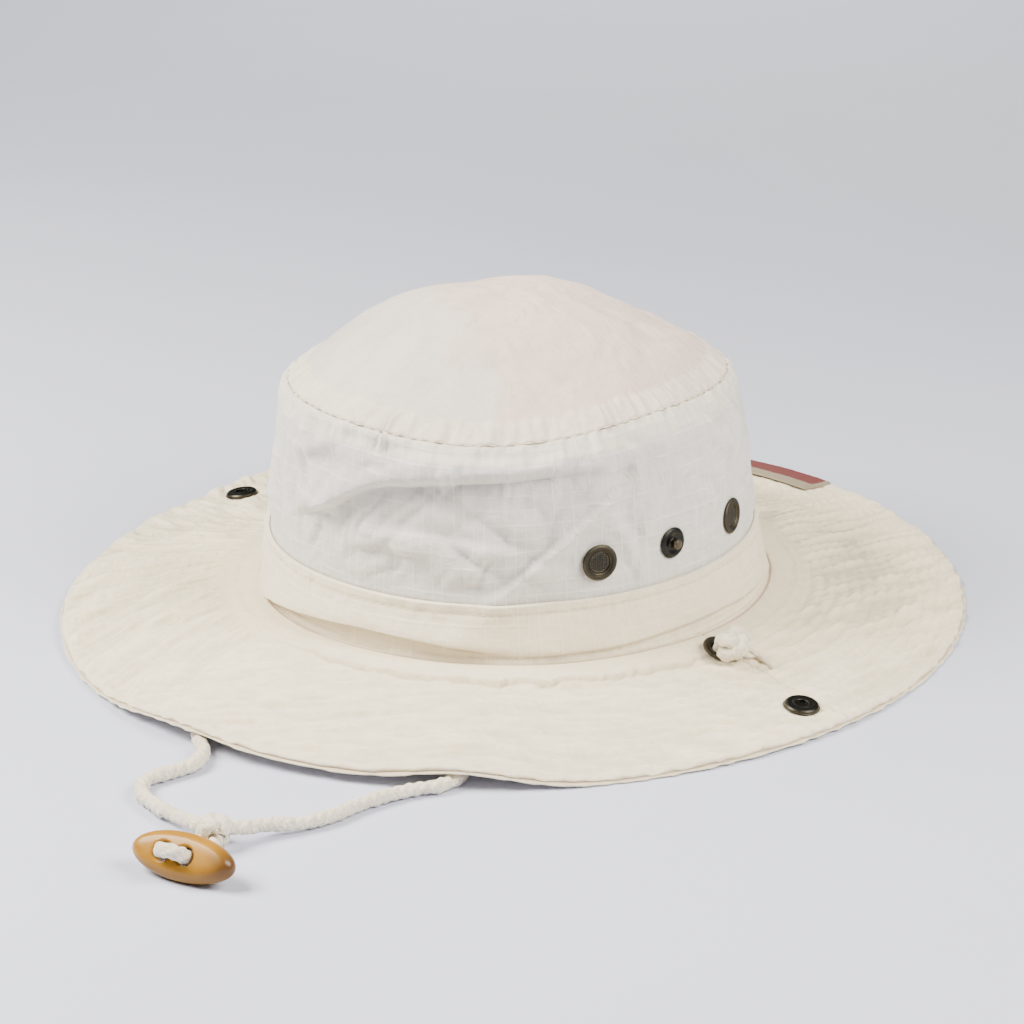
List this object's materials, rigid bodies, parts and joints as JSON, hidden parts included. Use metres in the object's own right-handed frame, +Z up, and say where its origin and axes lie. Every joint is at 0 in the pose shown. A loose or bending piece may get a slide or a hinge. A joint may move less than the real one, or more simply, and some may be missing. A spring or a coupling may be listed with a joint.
{
  "type": "wide-brimmed sun hat with chin cord",
  "caption": "Wide-brimmed cotton sun hat with a domed crown, screened vents, press studs that hold the brim up, and a corded chin strap with a wooden toggle.",
  "frame": {"origin": "on the surface that the hat rests on, under the middle of the brim", "axes": "+Z up, -Y towards the front of the hat, +X towards the side with the near fittings"},
  "size_m": [0.333, 0.4279, 0.1266],
  "materials": {
    "tip_cotton": "matte woven cotton, light cream",
    "wall_cotton": "matte ripstop cotton, pale grey-white with a fine grid",
    "band_cotton": "matte woven cotton, warm cream",
    "brim_cotton": "matte stitched cotton, warm cream",
    "label_weave": "plain woven strip, brick red with a khaki edge",
    "fitting_brass": "dark antique brass, satin",
    "vent_mesh": "dark wire mesh",
    "cord_cotton": "matte twisted cotton, off-white",
    "toggle_wood": "glossy honey-brown varnish"
  },
  "bodies": {
    "root": {"crown_tip": "tip_cotton", "crown_wall": "wall_cotton", "hat_band": "band_cotton", "brim": "brim_cotton", "brim_label": "label_weave", "vent_ring_near_front": "fitting_brass", "vent_ring_near_back": "fitting_brass", "vent_ring_far_front": "fitting_brass", "vent_ring_far_back": "fitting_brass", "vent_screen_near_front": "vent_mesh", "vent_screen_near_back": "vent_mesh", "vent_screen_far_front": "vent_mesh", "vent_screen_far_back": "vent_mesh", "snap_stud_near": "fitting_brass", "snap_stud_far": "fitting_brass", "snap_socket_near": "fitting_brass", "snap_socket_far": "fitting_brass", "cord_eyelet_near": "fitting_brass", "cord_eyelet_far": "fitting_brass", "brim_knot_near": "cord_cotton", "brim_knot_far": "cord_cotton", "chin_cord_near": "cord_cotton", "chin_cord_far": "cord_cotton", "toggle_knot": "cord_cotton", "toggle_loop": "cord_cotton", "toggle": "toggle_wood"}
  },
  "joints": []
}
